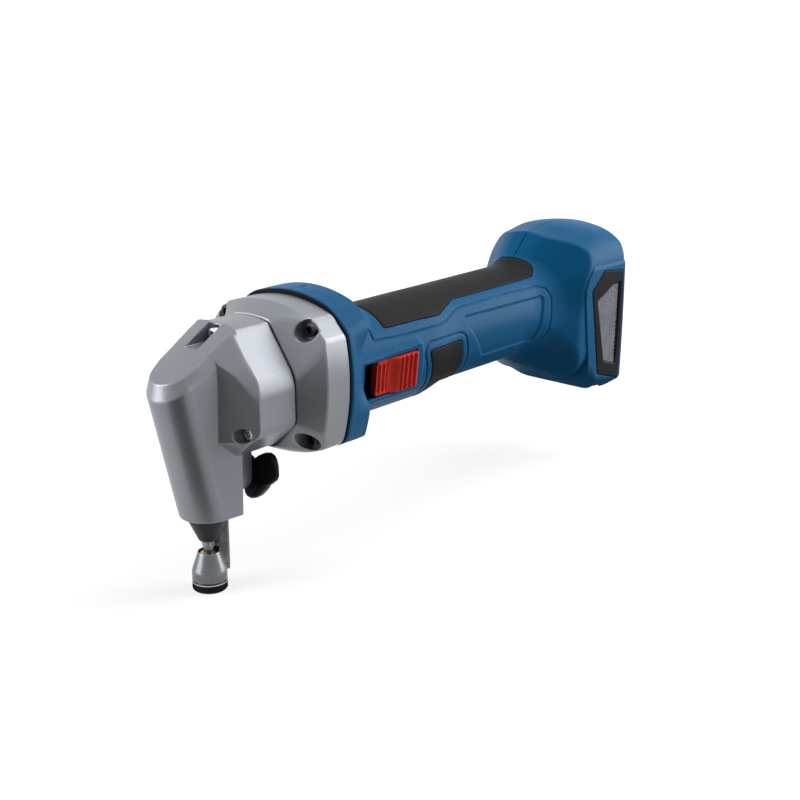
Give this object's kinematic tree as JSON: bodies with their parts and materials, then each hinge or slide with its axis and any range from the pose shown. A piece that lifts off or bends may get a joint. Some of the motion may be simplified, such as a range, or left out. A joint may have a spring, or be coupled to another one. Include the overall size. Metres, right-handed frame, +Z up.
{
  "type": "cordless nibbler",
  "caption": "Cordless handheld nibbler with a cast angled head, punch and turning die, barrel grip with sliding switch, and a flared foot that takes a slide-on battery pack.",
  "frame": {"origin": "centre of the die nut's lower face, on the punch axis", "axes": "+X from the cutting head along the handle to the battery foot, +Y to the right-hand side, +Z up along the punch"},
  "size_m": [0.3325, 0.08, 0.1408],
  "materials": {
    "cast_aluminium": "satin die cast, lightly textured",
    "seal_rubber": "matt moulded",
    "bright_screw_steel": "zinc plated",
    "black_screw_steel": "blackened",
    "blue_plastic": "fine moulded texture",
    "soft_grip_rubber": "soft grained overmould",
    "vent_plastic": "fine moulded texture",
    "vent_mesh_steel": "perforated sheet",
    "terminal_plastic": "glass filled",
    "contact_metal": "plated",
    "lead_insulation": "smooth insulation",
    "red_plastic": "satin moulded",
    "plain_steel": "ground",
    "core_steel": "stacked sheets",
    "coil_copper": "enamelled wire",
    "gear_steel": "hardened",
    "bush_bronze": "sintered bronze",
    "tool_steel": "ground",
    "guide_steel": "blackened",
    "holder_steel": "satin nickel",
    "nut_black": "blackened knurl",
    "lever_black": "satin moulded",
    "lever_shaft_steel": "turned"
  },
  "bodies": {
    "tool": {"head_casting": "cast_aluminium", "head_gasket": "seal_rubber", "head_screws": "bright_screw_steel", "gear_case": "cast_aluminium", "case_gasket": "seal_rubber", "case_screws": "black_screw_steel", "housing_left": "blue_plastic", "housing_right": "blue_plastic", "housing_screws": "black_screw_steel", "top_grip": "soft_grip_rubber", "finger_pad": "soft_grip_rubber", "vent_frame_left": "vent_plastic", "vent_frame_right": "vent_plastic", "vent_mesh_left": "vent_mesh_steel", "vent_mesh_right": "vent_mesh_steel", "terminal_block": "terminal_plastic", "terminal_blades": "contact_metal", "battery_leads": "lead_insulation", "control_module": "terminal_plastic", "micro_switch": "terminal_plastic", "stator": "core_steel", "stator_coils": "coil_copper", "motor_leads": "lead_insulation", "motor_front_bearing": "plain_steel", "motor_rear_bearing": "plain_steel", "motor_bracket": "terminal_plastic", "bearing_bridge": "cast_aluminium", "ring_gear": "gear_steel", "crank_bearing": "plain_steel", "crank_seal": "seal_rubber", "crank_bush": "bush_bronze", "ram_bush": "bush_bronze"},
    "switch": {"switch_button": "red_plastic", "switch_rod": "plain_steel"},
    "rotor": {"rotor_shaft": "plain_steel", "rotor_magnets": "core_steel", "fan": "terminal_plastic", "sun_pinion": "gear_steel"},
    "crank": {"crank_carrier": "gear_steel", "planet_pins": "plain_steel", "crank_roller": "plain_steel"},
    "planet_1": {"planet_gear_1": "gear_steel"},
    "planet_2": {"planet_gear_2": "gear_steel"},
    "planet_3": {"planet_gear_3": "gear_steel"},
    "ram_and_punch": {"ram": "gear_steel", "punch": "tool_steel", "punch_screw": "black_screw_steel"},
    "die_assembly": {"die_carrier": "holder_steel", "punch_guide": "guide_steel", "die_insert": "bush_bronze", "nut_washer": "tool_steel", "die_nut": "nut_black"},
    "clamp": {"clamp_lever": "lever_black", "lever_shaft": "lever_shaft_steel", "lever_screw": "black_screw_steel"}
  },
  "joints": [
    {"name": "switch_slide", "type": "slide", "parent": "tool", "child": "switch", "axis": [-1, 0, 0], "range_m": [0, 0.008]},
    {"name": "rotor_spin", "type": "hinge", "parent": "tool", "child": "rotor", "pos_m": [0.08, 0, 0.093], "axis": [1, 0, 0], "continuous": true},
    {"name": "crank_spin", "type": "hinge", "parent": "tool", "child": "crank", "pos_m": [0.03, 0, 0.093], "axis": [1, 0, 0], "continuous": true},
    {"name": "planet_1_spin", "type": "hinge", "parent": "crank", "child": "planet_1", "pos_m": [0.04, 0, 0.0795], "axis": [1, 0, 0], "continuous": true},
    {"name": "planet_2_spin", "type": "hinge", "parent": "crank", "child": "planet_2", "pos_m": [0.04, 0.01169, 0.09975], "axis": [1, 0, 0], "continuous": true},
    {"name": "planet_3_spin", "type": "hinge", "parent": "crank", "child": "planet_3", "pos_m": [0.04, -0.01169, 0.09975], "axis": [1, 0, 0], "continuous": true},
    {"name": "ram_stroke", "type": "slide", "parent": "tool", "child": "ram_and_punch", "axis": [0, 0, -1], "range_m": [0, 0.006]},
    {"name": "die_turn", "type": "hinge", "parent": "tool", "child": "die_assembly", "pos_m": [0, 0, 0.02], "axis": [0, 0, 1], "continuous": true},
    {"name": "clamp_swing", "type": "hinge", "parent": "tool", "child": "clamp", "pos_m": [0.022, 0, 0.054], "axis": [1, 0, 0], "range_deg": [0, 90]}
  ],
  "couplings": [
    {"joint": "crank_spin", "follows": "rotor_spin", "ratio": 0.2},
    {"joint": "planet_1_spin", "follows": "rotor_spin", "ratio": -0.53333},
    {"joint": "planet_2_spin", "follows": "rotor_spin", "ratio": -0.53333},
    {"joint": "planet_3_spin", "follows": "rotor_spin", "ratio": -0.53333}
  ]
}
